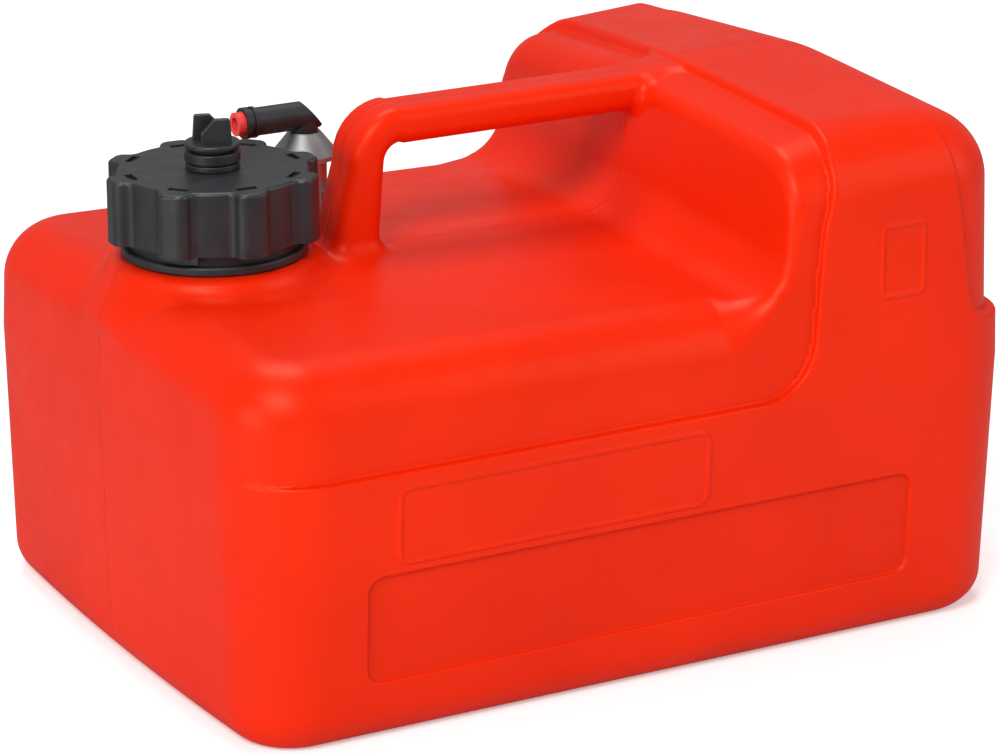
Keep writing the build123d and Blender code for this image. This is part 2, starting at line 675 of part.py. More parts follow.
def main():
    """Build every piece and write it to its own file."""
    os.makedirs("parts", exist_ok=True)
    pieces = {
        "tank_shell": make_tank(),
        "neck_ring": make_neck_ring(),
        "cap_shell": make_cap_shell(),
        "inner_cap": make_inner_cap(),
        "cap_gasket": make_cap_gasket(),
        "vent_sleeve": make_vent_sleeve(),
        "sleeve_washer": make_sleeve_washer(),
        "sleeve_nut": make_sleeve_nut(),
        "vent_screw": make_vent_screw(),
        "vent_o_ring": make_vent_o_ring(),
        "port_insert": make_port_insert(),
        "base_gasket": make_base_gasket(),
        "outlet_base": make_outlet_base(),
        "outlet_elbow": make_outlet_elbow(),
        "elbow_o_ring": make_elbow_o_ring(),
        "elbow_clip": make_elbow_clip(),
        "pickup_tube": make_pickup_tube(),
        "strainer_cage": make_strainer_cage(),
        "strainer_mesh": make_strainer_mesh(),
        "port_plug": make_port_plug(),
    }
    for name, piece in pieces.items():
        print(name, "solids", len(piece.solids()), "volume", round(piece.volume), "valid", piece.is_valid)
        export_step(piece, f"parts/{name}.step")


if __name__ == "__main__":
    main()
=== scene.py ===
"""Dresses the portable fuel tank: moulded skin, finishes, studio and camera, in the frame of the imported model."""

import logging
import math
from dataclasses import dataclass, field
from enum import Enum
from typing import Any, Optional, Sequence

import bpy
import numpy as np
from mathutils import Matrix, Vector

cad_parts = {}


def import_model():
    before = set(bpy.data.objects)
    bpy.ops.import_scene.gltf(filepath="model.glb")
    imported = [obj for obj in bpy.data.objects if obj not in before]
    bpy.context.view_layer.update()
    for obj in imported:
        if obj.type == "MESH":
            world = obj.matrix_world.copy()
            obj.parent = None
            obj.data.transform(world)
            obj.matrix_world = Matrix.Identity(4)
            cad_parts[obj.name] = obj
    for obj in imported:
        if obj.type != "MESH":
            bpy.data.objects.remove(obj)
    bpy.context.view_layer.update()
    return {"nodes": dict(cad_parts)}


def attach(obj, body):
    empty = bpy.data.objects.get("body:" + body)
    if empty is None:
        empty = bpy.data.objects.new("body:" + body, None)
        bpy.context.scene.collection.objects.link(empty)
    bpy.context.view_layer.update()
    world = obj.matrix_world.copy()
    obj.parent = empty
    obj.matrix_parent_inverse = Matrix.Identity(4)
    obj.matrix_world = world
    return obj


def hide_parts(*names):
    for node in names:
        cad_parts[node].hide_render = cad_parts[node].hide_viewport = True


LOG = logging.getLogger("fuel_tank")
Array = np.ndarray
Pair = tuple[float, float]
Triple = tuple[float, float, float]
Run = Triple
Colour = Triple

MM = 0.001

# Field value well outside a form, and the step of the slope's differences, in millimetres
OUTSIDE = 40.0
PROBE = 0.1

# Settling of the net onto the surface: rounds, least squared slope and longest pull
SETTLING_STEPS = 3
LEAST_SLOPE = 0.25
LONGEST_PULL = 1.0

# Grid runs of (start, end, step) in millimetres, finer where steps, panel edges and beads run across the axis
GRID_X: tuple[Run, ...] = (
    (-190.0, -134.0, 2.3), (-134.0, -113.0, 0.9), (-113.0, 22.0, 2.3), (22.0, 33.0, 0.9), (33.0, 50.0, 2.3),
    (50.0, 102.0, 1.4), (102.0, 109.0, 2.0), (109.0, 136.0, 0.9), (136.0, 190.0, 1.7),
)
GRID_Y: tuple[Run, ...] = ((-146.0, 146.0, 2.2),)
GRID_Z: tuple[Run, ...] = (
    (-4.0, 24.0, 2.4), (24.0, 35.0, 1.0), (35.0, 64.0, 2.4), (64.0, 82.5, 0.9), (82.5, 105.0, 2.4),
    (105.0, 114.0, 0.9), (114.0, 122.0, 1.2), (122.0, 151.0, 2.0), (151.0, 158.0, 0.9), (158.0, 182.0, 2.0),
    (182.0, 188.5, 0.9), (188.5, 234.0, 2.0),
)


class Side(Enum):
    """Halves of the tank along Y, by the sign of their places."""

    NEAR = -1
    FAR = 1


@dataclass(frozen=True)
class SideFrame:
    """Rounded rectangle on the long sides, by its middle, half sizes and corner in millimetres."""

    middle_x: float
    middle_z: float
    half_x: float
    half_z: float
    corner: float


# Field arithmetic


def round_union(a: Array, b: Array, radius: Any) -> Array:
    """Joins two distance fields with a hollow fillet: outside both, the quarter circle of that radius between them.

    Args:
        a: first field in millimetres, negative inside.
        b: second field in millimetres.
        radius: fillet radius, a number or an array.

    Returns:
        The joined field.
    """
    near = np.maximum(radius, np.minimum(a, b))
    return near - np.hypot(np.maximum(radius - a, 0.0), np.maximum(radius - b, 0.0))


def round_meet(a: Array, b: Array, radius: Any) -> Array:
    """Keeps what lies inside both fields, with the shared edge rounded by a quarter circle of that radius.

    Args:
        a: first field in millimetres, negative inside.
        b: second field in millimetres.
        radius: edge radius, a number or an array.

    Returns:
        The common field.
    """
    deep = np.minimum(-radius, np.maximum(a, b))
    return deep + np.hypot(np.maximum(radius + a, 0.0), np.maximum(radius + b, 0.0))


def smooth(t: Array) -> Array:
    """Smooth step 3t^2 - 2t^3 of t held between 0 and 1."""
    t = np.clip(t, 0.0, 1.0)
    return t * t * (3.0 - 2.0 * t)


def plate(u: Array, v: Array, half_u: float, half_v: float, corner: float) -> Array:
    """Distance to a rounded rectangle: the length of the positive part of (|u|, |v|) less the inner corner.

    Args:
        u: first coordinate from the middle.
        v: second coordinate from the middle.
        half_u: half length.
        half_v: half height.
        corner: corner radius.

    Returns:
        The distance field, negative inside.
    """
    qu = np.abs(u) - half_u + corner
    qv = np.abs(v) - half_v + corner
    return np.minimum(np.maximum(qu, qv), 0.0) + np.hypot(np.maximum(qu, 0.0), np.maximum(qv, 0.0)) - corner


def spaced(runs: Sequence[Run], coarse: float) -> Array:
    """Grid places made of runs of (start, end, step), each run evenly divided.

    Args:
        runs: consecutive runs that share their ends.
        coarse: factor on every step.

    Returns:
        Rising places in millimetres.
    """
    parts = [np.linspace(a, b, max(2, round((b - a) / (step * coarse)) + 1))[:-1] for a, b, step in runs]
    return np.concatenate(parts + [np.array([runs[-1][1]])])


def surface_net(value: Array, axes: Sequence[Array]) -> tuple[Array, Array]:
    """Quad mesh of a field's zero surface on a grid.

    Each cell that the surface crosses gets one vertex, at the mean of the crossings on its twelve edges, and each
    crossed grid edge gets one quad that joins the vertices of its four cells.

    Args:
        value: field at the grid nodes, shape (nx, ny, nz), negative inside.
        axes: the three arrays of grid places.

    Returns:
        Vertices (n, 3) and outward quads (m, 4).
    """
    inside = value < 0.0
    shape = tuple(n - 1 for n in value.shape)
    total = np.zeros(shape + (3,))
    count = np.zeros(shape)
    low = [slice(None, -1)] * 3
    high = [slice(1, None)] * 3
    for axis in range(3):
        others = [k for k in range(3) if k != axis]
        for first in (0, 1):
            for second in (0, 1):
                start = list(low)
                start[others[0]] = (low, high)[first][others[0]]
                start[others[1]] = (low, high)[second][others[1]]
                end = list(start)
                end[axis] = high[axis]
                a = value[tuple(start)]
                b = value[tuple(end)]
                crossed = (a < 0.0) != (b < 0.0)
                share = np.where(crossed, a / np.where(crossed, a - b, 1.0), 0.0)
                for k in range(3):
                    form = [1, 1, 1]
                    form[k] = -1
                    here = axes[k][start[k]].reshape(form)
                    place = here + share * np.diff(axes[k]).reshape(form) if k == axis else here + 0.0 * share
                    total[..., k] += np.where(crossed, place, 0.0)
                count += crossed
    active = count > 0
    number = np.full(shape, -1, dtype=np.int64)
    number[active] = np.arange(int(active.sum()))
    vertices = total[active] / count[active][:, None]
    quads = []
    for axis in range(3):
        u, v = (axis + 1) % 3, (axis + 2) % 3
        ahead = np.moveaxis(inside, (axis, u, v), (0, 1, 2))
        cells = np.moveaxis(number, (axis, u, v), (0, 1, 2))
        a = ahead[:-1, 1:-1, 1:-1]
        b = ahead[1:, 1:-1, 1:-1]
        ring = [cells[:, :-1, :-1], cells[:, 1:, :-1], cells[:, 1:, 1:], cells[:, :-1, 1:]]
        leaving = a & ~b
        entering = ~a & b
        quads.append(np.stack([r[leaving] for r in ring], axis=1))
        quads.append(np.stack([r[entering] for r in ring[::-1]], axis=1))
    return vertices, np.concatenate(quads)


def mesh_piece(name: str, vertices: Array, faces: Array, normals: Optional[Array] = None) -> bpy.types.Object:
    """Smooth mesh object at the origin.

    Args:
        name: object name.
        vertices: places in metres, shape (n, 3).
        faces: vertex numbers, shape (m, 4).
        normals: exact vertex normals, if known.

    Returns:
        The linked object.
    """
    mesh = bpy.data.meshes.new(name)
    mesh.vertices.add(len(vertices))
    mesh.vertices.foreach_set("co", np.ascontiguousarray(vertices, dtype=np.float32).ravel())
    sides = faces.shape[1]
    mesh.loops.add(faces.size)
    mesh.loops.foreach_set("vertex_index", np.ascontiguousarray(faces, dtype=np.int32).ravel())
    mesh.polygons.add(len(faces))
    mesh.polygons.foreach_set("loop_start", np.arange(0, faces.size, sides, dtype=np.int32))
    mesh.polygons.foreach_set("use_smooth", np.ones(len(faces), dtype=bool))
    mesh.update(calc_edges=True)
    mesh.validate()
    if normals is not None:
        mesh.normals_split_custom_set_from_vertices(normals.tolist())
    piece = bpy.data.objects.new(name, mesh)
    bpy.context.scene.collection.objects.link(piece)
    return piece


# Finishes


class Shade:
    """Builder of one procedural material around a Principled shader."""

    def __init__(self, name: str) -> None:
        """Starts an empty material with its shader and Object coordinates."""
        self.material = bpy.data.materials.new(name)
        self.material.use_nodes = True
        self.tree = self.material.node_tree
        self.shader = self.tree.nodes["Principled BSDF"]
        coordinates = self.tree.nodes.new("ShaderNodeTexCoord")
        self.place = coordinates.outputs["Object"]

    def fixed(self, **values: Any) -> None:
        """Sets constant values on the shader's own sockets, by names with underscores for spaces."""
        for key, value in values.items():
            self.shader.inputs[key.replace("_", " ")].default_value = value

    def join(self, source: Any, target: Any) -> None:
        """Links one socket to another."""
        self.tree.links.new(source, target)

    def math(self, operation: str, a: Any, b: Any = None) -> Any:
        """Math node.

        Args:
            operation: Blender's name of the operation.
            a: first socket or number.
            b: second socket or number, if used.

        Returns:
            The result socket.
        """
        node = self.tree.nodes.new("ShaderNodeMath")
        node.operation = operation
        for slot, item in zip(node.inputs, (a, b)):
            if item is None:
                continue
            if isinstance(item, (int, float)):
                slot.default_value = item
            else:
                self.join(item, slot)
        return node.outputs[0]

    def axes(self) -> tuple[Any, Any, Any]:
        """X, Y and Z sockets of the Object coordinates."""
        node = self.tree.nodes.new("ShaderNodeSeparateXYZ")
        self.join(self.place, node.inputs[0])
        return node.outputs[0], node.outputs[1], node.outputs[2]

    def noise(self, scale: float, detail: float = 3.0, roughness: float = 0.5) -> Any:
        """Noise factor socket at that scale per metre."""
        node = self.tree.nodes.new("ShaderNodeTexNoise")
        node.inputs["Scale"].default_value = scale
        node.inputs["Detail"].default_value = detail
        node.inputs["Roughness"].default_value = roughness
        self.join(self.place, node.inputs["Vector"])
        return node.outputs[0]

    def spread(self, source: Any, low: float, high: float, start: float = 0.3, end: float = 0.7) -> Any:
        """Maps a factor from start..end to low..high, held at the ends.

        Args:
            source: factor socket.
            low: value at start.
            high: value at end.
            start: factor for low.
            end: factor for high.

        Returns:
            The mapped socket.
        """
        node = self.tree.nodes.new("ShaderNodeMapRange")
        for key, value in (("From Min", start), ("From Max", end), ("To Min", low), ("To Max", high)):
            node.inputs[key].default_value = value
        self.join(source, node.inputs["Value"])
        return node.outputs["Result"]

    def tint(self, factor: Any, dark: Sequence[float], light: Sequence[float]) -> Any:
        """Colour between two tints by a factor socket."""
        node = self.tree.nodes.new("ShaderNodeMix")
        node.data_type = "RGBA"
        node.inputs[6].default_value = (*dark, 1.0)
        node.inputs[7].default_value = (*light, 1.0)
        self.join(factor, node.inputs[0])
        return node.outputs[2]

    def bump(self, height: Any, distance: float, strength: float, below: Any = None) -> Any:
        """Bump node.

        Args:
            height: height socket, 0 to 1.
            distance: height in metres at 1.
            strength: share of the effect.
            below: normal socket of a bump under this one.

        Returns:
            The normal socket.
        """
        node = self.tree.nodes.new("ShaderNodeBump")
        node.inputs["Strength"].default_value = strength
        node.inputs["Distance"].default_value = distance
        self.join(height, node.inputs["Height"])
        if below is not None:
            self.join(below, node.inputs["Normal"])
        return node.outputs[0]

    def plate_distance(self, u: Any, v: Any, half_u: float, half_v: float, corner: float) -> Any:
        """Distance in metres to a rounded rectangle, the same formula as the plate function.

        Args:
            u: first coordinate socket, from the middle.
            v: second coordinate socket, from the middle.
            half_u: half length in metres.
            half_v: half height in metres.
            corner: corner radius in metres.

        Returns:
            The distance socket.
        """
        qu = self.math("SUBTRACT", self.math("ABSOLUTE", u), half_u - corner)
        qv = self.math("SUBTRACT", self.math("ABSOLUTE", v), half_v - corner)
        inner = self.math("MINIMUM", self.math("MAXIMUM", qu, qv), 0.0)
        pu = self.math("MAXIMUM", qu, 0.0)
        pv = self.math("MAXIMUM", qv, 0.0)
        outer = self.math("SQRT", self.math("ADD", self.math("MULTIPLY", pu, pu), self.math("MULTIPLY", pv, pv)))
        return self.math("SUBTRACT", self.math("ADD", inner, outer), corner)

    def ridge(self, distance: Any, width: float) -> Any:
        """Rounded line along a distance socket's zero: 1 - (d / w)^2, never below zero."""
        ratio = self.math("DIVIDE", distance, width)
        return self.math("MAXIMUM", self.math("SUBTRACT", 1.0, self.math("MULTIPLY", ratio, ratio)), 0.0)


@dataclass(frozen=True)
class MouldedRed:
    """Satin moulded polyethylene of the tank, with its parting line and slightly darker side panels."""

    panel: SideFrame
    dark: Colour = (0.58, 0.010, 0.0001)
    light: Colour = (0.80, 0.018, 0.0003)
    sheen: tuple[float, float, float, float] = (1.0, 0.78, 0.5, 1.0)
    rough: Pair = (0.34, 0.44)
    clouded: Pair = (0.65, 1.0)
    cloud_scale: float = 14.0
    polish_scale: float = 60.0
    grain_scale: float = 900.0
    wave_scale: float = 26.0
    side_from: float = 0.12
    panel_shade: float = 0.16
    seam_width: float = 0.0011

    def material(self) -> bpy.types.Material:
        """Builds the material.

        Returns:
            The finished material.
        """
        shade = Shade("moulded_red")
        shade.fixed(IOR=1.5, Specular_IOR_Level=0.22, Specular_Tint=self.sheen)
        cloud = shade.noise(self.cloud_scale)
        polish = shade.noise(self.polish_scale, detail=4.0, roughness=0.6)
        shade.join(shade.spread(polish, *self.rough), shade.shader.inputs["Roughness"])
        x, y, z = shade.axes()
        on_side = shade.math("GREATER_THAN", shade.math("ABSOLUTE", y), self.side_from)
        sunk = self.panel_distance(shade, x, z)
        panel = shade.math("MULTIPLY", shade.math("LESS_THAN", sunk, 0.0), on_side)
        darker = shade.math("MULTIPLY", panel, self.panel_shade)
        tone = shade.math("SUBTRACT", shade.spread(cloud, *self.clouded), darker)
        shade.join(shade.tint(tone, self.dark, self.light), shade.shader.inputs["Base Color"])
        seam = shade.ridge(y, self.seam_width)
        grain = shade.noise(self.grain_scale, detail=2.0)
        waves = shade.noise(self.wave_scale, detail=2.0, roughness=0.4)
        normal = shade.bump(waves, distance=0.0012, strength=0.25)
        normal = shade.bump(grain, distance=0.00012, strength=0.35, below=normal)
        normal = shade.bump(seam, distance=0.00035, strength=1.0, below=normal)
        shade.join(normal, shade.shader.inputs["Normal"])
        return shade.material

    def panel_distance(self, shade: Shade, x: Any, z: Any) -> Any:
        """Distance socket of the sunk panel's outline, in metres."""
        size = self.panel
        u = shade.math("SUBTRACT", x, size.middle_x * MM)
        v = shade.math("SUBTRACT", z, size.middle_z * MM)
        return shade.plate_distance(u, v, size.half_x * MM, size.half_z * MM, size.corner * MM)


@dataclass(frozen=True)
class GrainedPlastic:
    """Moulded plastic with a fine spark-eroded grain."""

    name: str
    dark: Colour
    light: Colour
    rough: Pair = (0.42, 0.56)
    grain: float = 2200.0
    depth: float = 0.00016
    cloud_scale: float = 90.0
    polish_scale: float = 160.0

    def material(self) -> bpy.types.Material:
        """Builds the material.

        Returns:
            The finished material.
        """
        shade = Shade(self.name)
        shade.fixed(IOR=1.5)
        cloud = shade.spread(shade.noise(self.cloud_scale, roughness=0.55), 0.0, 1.0)
        shade.join(shade.tint(cloud, self.dark, self.light), shade.shader.inputs["Base Color"])
        shade.join(shade.spread(shade.noise(self.polish_scale), *self.rough), shade.shader.inputs["Roughness"])
        grain = shade.noise(self.grain, roughness=0.6)
        shade.join(shade.bump(grain, self.depth, strength=0.6), shade.shader.inputs["Normal"])
        return shade.material


@dataclass(frozen=True)
class TurnedMetal:
    """Metal with faint turning rings and slightly uneven polish."""

    name: str
    colour: Colour
    rough: Pair = (0.18, 0.32)
    dulling: float = 0.86
    cloud_scale: float = 240.0
    polish_scale: float = 420.0
    ring_rate: float = 9000.0

    def material(self) -> bpy.types.Material:
        """Builds the material.

        Returns:
            The finished material.
        """
        shade = Shade(self.name)
        shade.fixed(Metallic=1.0)
        dull = tuple(self.dulling * c for c in self.colour)
        cloud = shade.spread(shade.noise(self.cloud_scale), 0.0, 1.0)
        shade.join(shade.tint(cloud, dull, self.colour), shade.shader.inputs["Base Color"])
        polish = shade.noise(self.polish_scale, detail=4.0, roughness=0.6)
        shade.join(shade.spread(polish, *self.rough), shade.shader.inputs["Roughness"])
        height = shade.axes()[2]
        rings = shade.math("SINE", shade.math("MULTIPLY", height, self.ring_rate))
        shade.join(shade.bump(rings, distance=0.00002, strength=0.3), shade.shader.inputs["Normal"])
        return shade.material


# Tank


@dataclass
class TankSkin:
    """Outer moulded skin of the tank, one field of rounded forms in millimetres, with drafts in degrees.

    Attributes:
        end_draft: drafts of the front and the rear end.
        hump_run: X of the hump's front and rear edge, where the pairs of the other hump sizes hold.
        nose_sweep: setback of the hump's front wall at the near and the far side. The pairs of nose_round,
            lip_rise, lip_fall and step_sweep are for these two sides as well.
        lip_run: start and end of the lip's rise, from lip_middle. Other runs, bands and turns are such pairs too.
        collar: radius and top.
        collar_skirt: how much wider the collar gets downwards, and in which depth.
        collar_rounds: radius of its edge and of its foot, as for boss_rounds.
        neck: outer radius, bore radius and top, as for boss.
        post_slope: factor that makes a leaning wall's field a distance, as for skirt_slope.
    """

    front: float = 181.0
    rear: float = 186.0
    half_width: float = 142.0
    belt_top: float = 116.6
    step: float = 3.6
    belt_back: float = 2.0
    bow: float = 5.0
    side_draft: float = 2.4
    end_draft: Pair = (1.3, 0.7)
    upper_draft: float = 1.2
    front_draft: float = 2.4
    front_corner: float = 33.0
    corner_growth: float = 7.0
    rear_corner: float = 31.0
    floor_round: float = 15.0
    deck: float = 165.5
    deck_fall: float = 0.045
    deck_tilt: float = 0.018
    deck_middle: float = -40.0
    ridge_round: float = 6.0
    side_change: float = 16.0
    hump_run: Pair = (95.0, 148.0)
    hump_top: Pair = (231.2, 232.1)
    hump_fall: Pair = (0.040, 0.045)
    hump_fall_far: Pair = (0.092, 0.075)
    hump_round: Pair = (32.0, 28.0)
    nose: float = 67.5
    nose_sweep: Pair = (1.5, 11.0)
    nose_tip: float = 9.0
    nose_half: float = 139.0
    nose_lean: float = 0.06
    nose_level: float = 183.0
    nose_foot: float = 20.0
    lip: float = 226.0
    lip_middle: float = 80.0
    lip_run: Pair = (-16.0, 14.0)
    lip_rise: Pair = (0.20, 0.03)
    lip_fall: Pair = (0.055, 0.095)
    lip_round: float = 26.0
    rim_round: float = 24.0
    scoop_run: Pair = (40.0, 62.0)
    saddle_middle: float = 112.0
    nose_round: Pair = (6.0, 14.0)
    step_line: float = 90.5
    step_sweep: Pair = (0.012, 0.095)
    step_half: float = 100.0
    step_lean: float = 0.35
    step_band: Pair = (-6.0, 12.0)
    step_turn: Pair = (188.0, 220.0)
    side_levels: tuple[float, ...] = (142.6, 184.0, 205.0, 226.0)
    side_line: tuple[float, ...] = (80.0, 83.5, 87.0, 91.0)
    side_foot: float = 26.0
    rear_levels: Pair = (153.0, 234.0)
    rear_line: Pair = (157.5, 145.5)
    rear_foot: float = 16.0
    edge_round: float = 1.8
    step_foot: float = 0.8
    shelf: float = 137.0
    handle_top: float = 227.2
    handle_climb: float = 2.0
    climb_run: Pair = (66.0, 92.0)
    handle_end: float = 104.0
    handle_half: float = 8.0
    handle_side: float = 13.5
    handle_round: float = 6.5
    flare: float = 15.0
    flare_past: float = 4.0
    bend_x: float = -47.0
    bend_z: float = 204.0
    bend_radius: float = 16.0
    post_drop: float = 46.0
    post_rake: float = 0.17
    post_growth: float = 0.09
    post_slope: float = 0.96
    foot_places: tuple[float, ...] = (-70.0, -40.0, 0.0, 74.0, 88.0)
    foot_rounds: tuple[float, ...] = (7.0, 10.0, 5.0, 5.0, 1.5)
    cap_x: float = -131.0
    collar: Pair = (43.5, 174.0)
    collar_skirt: Pair = (6.0, 14.0)
    skirt_end: float = 1.5
    skirt_slope: float = 0.92
    collar_rounds: Pair = (3.0, 5.0)
    neck: Triple = (33.5, 29.5, 201.8)
    boss_place: Pair = (-62.5, 52.0)
    boss: Triple = (20.0, 12.0, 169.0)
    boss_rounds: Pair = (1.5, 2.0)
    bore_floor: float = 150.0
    panel: SideFrame = SideFrame(0.0, 49.7, 131.0, 23.0, 7.0)
    panel_depth: float = 1.8
    panel_wall: float = 1.5
    long_frame: SideFrame = SideFrame(-45.0, 93.7, 72.5, 16.0, 5.0)
    small_frame: SideFrame = SideFrame(122.5, 169.8, 10.5, 15.2, 3.0)
    bead: float = 0.75
    bead_crown: float = 1.4
    bead_flank: float = 1.1
    side_from: float = 100.0
    pieces: list[bpy.types.Object] = field(default_factory=list)

    def roof(self, y: Array, ridge: float, fall: float) -> Array:
        """Height of a top that falls from the middle line like a roof: ridge - fall (sqrt(y^2 + r^2) - r).

        Args:
            y: Y places.
            ridge: height on the middle line.
            fall: fall per millimetre to the sides.

        Returns:
            The heights.
        """
        return ridge - fall * (np.hypot(y, self.ridge_round) - self.ridge_round)

    def drawn_in(self, z: Array, draft: float, upper: float) -> Array:
        """How far walls of these drafts stand in from the belt's top edge at each height."""
        below = np.maximum(self.belt_top - z, 0.0) * math.tan(math.radians(draft))
        return below + np.maximum(z - self.belt_top, 0.0) * math.tan(math.radians(upper))

    def by_side(self, y: Array, near: Any, far: Any) -> Array:
        """Value that passes from the near side's to the far side's under the handle."""
        return near + (far - near) * smooth((y + self.side_change) / (2.0 * self.side_change))

    def lip_height(self, x: Array, y: Array) -> Array:
        """Height of the hump's front lip, which rises a little towards the saddle."""
        ridge = self.lip + self.by_side(y, *self.lip_rise) * np.clip(x - self.lip_middle, *self.lip_run)
        return self.roof(y, ridge, self.by_side(y, *self.lip_fall))

    def saddle_height(self, x: Array, y: Array, sunk: float) -> Array:
        """Height of the saddle's top, less what it is sunk by."""
        fall = self.by_side(y, self.along(x, self.hump_fall), self.along(x, self.hump_fall_far))
        return self.roof(y, self.along(x, self.hump_top) - sunk, fall)

    def along(self, x: Array, ends: Pair) -> Array:
        """Value that changes evenly from the hump's front edge to its rear edge."""
        return np.interp(x, self.hump_run, ends)

    def plan(self, x: Array, y: Array, z: Array, front: float, rear: float, half: float) -> Array:
        """Drafted plan outline: a rounded rectangle whose front end bows out by b(1 - (y / w)^2).

        Args:
            x: X places.
            y: Y places.
            z: Z places.
            front: distance of the front corners from the middle at the belt's top.
            rear: distance of the rear end from the middle there.
            half: half width there.

        Returns:
            The distance field in plan.
        """
        ahead = x < 0.0
        side = half - self.drawn_in(z, self.side_draft, self.upper_draft)
        reach = np.where(ahead, -x - self.bow * np.clip(1.0 - (y / side) ** 2, 0.0, 1.0), x)
        small = self.corner_growth * np.clip(1.0 - z / self.belt_top, 0.0, 1.0)
        corner = np.where(ahead, self.front_corner - small, self.rear_corner)
        inset = np.where(
            ahead, self.drawn_in(z, self.end_draft[0], self.front_draft),
            self.drawn_in(z, self.end_draft[1], self.upper_draft),
        )
        qx = reach - np.where(ahead, front, rear) + inset + corner
        qy = np.abs(y) - side + corner
        return np.minimum(np.maximum(qx, qy), 0.0) + np.hypot(np.maximum(qx, 0.0), np.maximum(qy, 0.0)) - corner

    def core(self, x: Array, y: Array, z: Array) -> Array:
        """Inner body: drafted walls, deck with a hollow foot up to the hump's front wall, lip and recessed rear.

        Args:
            x: X places.
            y: Y places.
            z: Z places.

        Returns:
            The distance field.
        """
        walls = self.plan(x, y, z, self.front, self.rear - self.step, self.half_width - self.step)
        sweep = self.by_side(y, *self.nose_sweep) * (np.hypot(y, self.nose_tip) - self.nose_tip) / self.nose_half
        wall = self.nose + sweep + (z - self.nose_level) * self.nose_lean
        deck = self.roof(y, self.deck - self.deck_tilt * (x - self.deck_middle), self.deck_fall)
        step_up = round_union(z - deck, wall - x, self.nose_foot)
        arch = round_meet(walls, z - self.lip_height(x, y), self.lip_round)
        rim = np.interp(x, self.scoop_run, (self.rim_round, 0.0))
        rim = rim + (1.0 - rim / self.rim_round) * self.by_side(y, *self.nose_round)
        ahead = round_meet(arch, step_up, rim)
        behind = round_meet(walls, z - self.saddle_height(x, y, self.step), self.along(x, self.hump_round))
        return np.where(x < self.saddle_middle, ahead, behind)

    def wrap(self, x: Array, y: Array, z: Array) -> Array:
        """Proud outer layer: the belt, and the saddle that climbs from it and falls to the rear shelf.

        Args:
            x: X places.
            y: Y places.
            z: Z places.

        Returns:
            The distance field.
        """
        walls = self.plan(x, y, z, self.front - self.belt_back, self.rear, self.half_width)
        dome = round_meet(walls, z - self.saddle_height(x, y, 0.0), self.along(x, self.hump_round))
        side_line = np.interp(z, self.side_levels, self.side_line)
        above = np.clip(z - self.lip_height(x, y), *self.step_band)
        outward = self.by_side(y, *self.step_sweep) * np.minimum(np.abs(y), self.step_half)
        top_line = self.step_line + outward + self.step_lean * above
        low, high = self.step_turn
        share = smooth((z - low) / (high - low))
        rise = side_line + share * (top_line - side_line)
        fall_line = np.interp(z, self.rear_levels, self.rear_line)
        climb = round_union(z - self.belt_top, rise - x, self.side_foot)
        drop = round_union(z - self.shelf, x - fall_line, self.rear_foot)
        return round_meet(dome, np.maximum(climb, drop), self.edge_round)

    def handle(self, x: Array, y: Array, z: Array) -> Array:
        """Carry handle: a strip carried along a bar, a quarter bend and a raked post that widens to its foot.

        Towards the hump the bar climbs to its top, and its sides flare by r - sqrt(r^2 - t^2).

        Args:
            x: X places.
            y: Y places.
            z: Z places.

        Returns:
            The distance field.
        """
        start, end = self.climb_run
        top = self.handle_top + self.handle_climb * smooth((x - start) / (end - start))
        bar = np.maximum(np.abs(z - top + self.handle_half) - self.handle_half, x - self.handle_end)
        bend = np.abs(np.hypot(x - self.bend_x, z - self.bend_z) - self.bend_radius) - self.handle_half
        below = np.clip(self.bend_z - z, 0.0, self.post_drop)
        middle = self.bend_x - self.bend_radius - self.post_rake * below
        post = (np.abs(x - middle) - self.handle_half - self.post_growth * below) * self.post_slope
        strip = np.where(z < self.bend_z, post, np.where(x < self.bend_x, bend, bar))
        strip = np.where((z < self.bend_z) & (x > 0.0), OUTSIDE, strip)
        reach = np.clip(x - self.step_line - self.flare_past + self.flare, 0.0, self.flare)
        side = self.handle_side + self.flare - np.sqrt(self.flare ** 2 - reach ** 2)
        return round_meet(strip, np.abs(y) - side, self.handle_round)

    def fittings(self, body: Array, x: Array, y: Array, z: Array) -> Array:
        """Adds collar, neck and boss to the body and opens their bores.

        Args:
            body: field so far.
            x: X places.
            y: Y places.
            z: Z places.

        Returns:
            The distance field.
        """
        from_cap = np.hypot(x - self.cap_x, y)
        above = self.bore_floor - z
        wider, depth = self.collar_skirt
        skirt = wider * np.clip((self.collar[1] - z) / depth, 0.0, self.skirt_end)
        flank = (from_cap - self.collar[0] - skirt) * self.skirt_slope
        collar = round_meet(flank, z - self.collar[1], self.collar_rounds[0])
        body = round_union(body, np.maximum(collar, above), self.collar_rounds[1])
        body = np.minimum(body, np.maximum(np.maximum(from_cap - self.neck[0], z - self.neck[2]), above))
        from_port = np.hypot(x - self.boss_place[0], y - self.boss_place[1])
        boss = round_meet(from_port - self.boss[0], z - self.boss[2], self.boss_rounds[0])
        body = round_union(body, boss, self.boss_rounds[1])
        body = np.maximum(body, -np.maximum(from_cap - self.neck[1], above))
        return np.maximum(body, -np.maximum(from_port - self.boss[1], above))

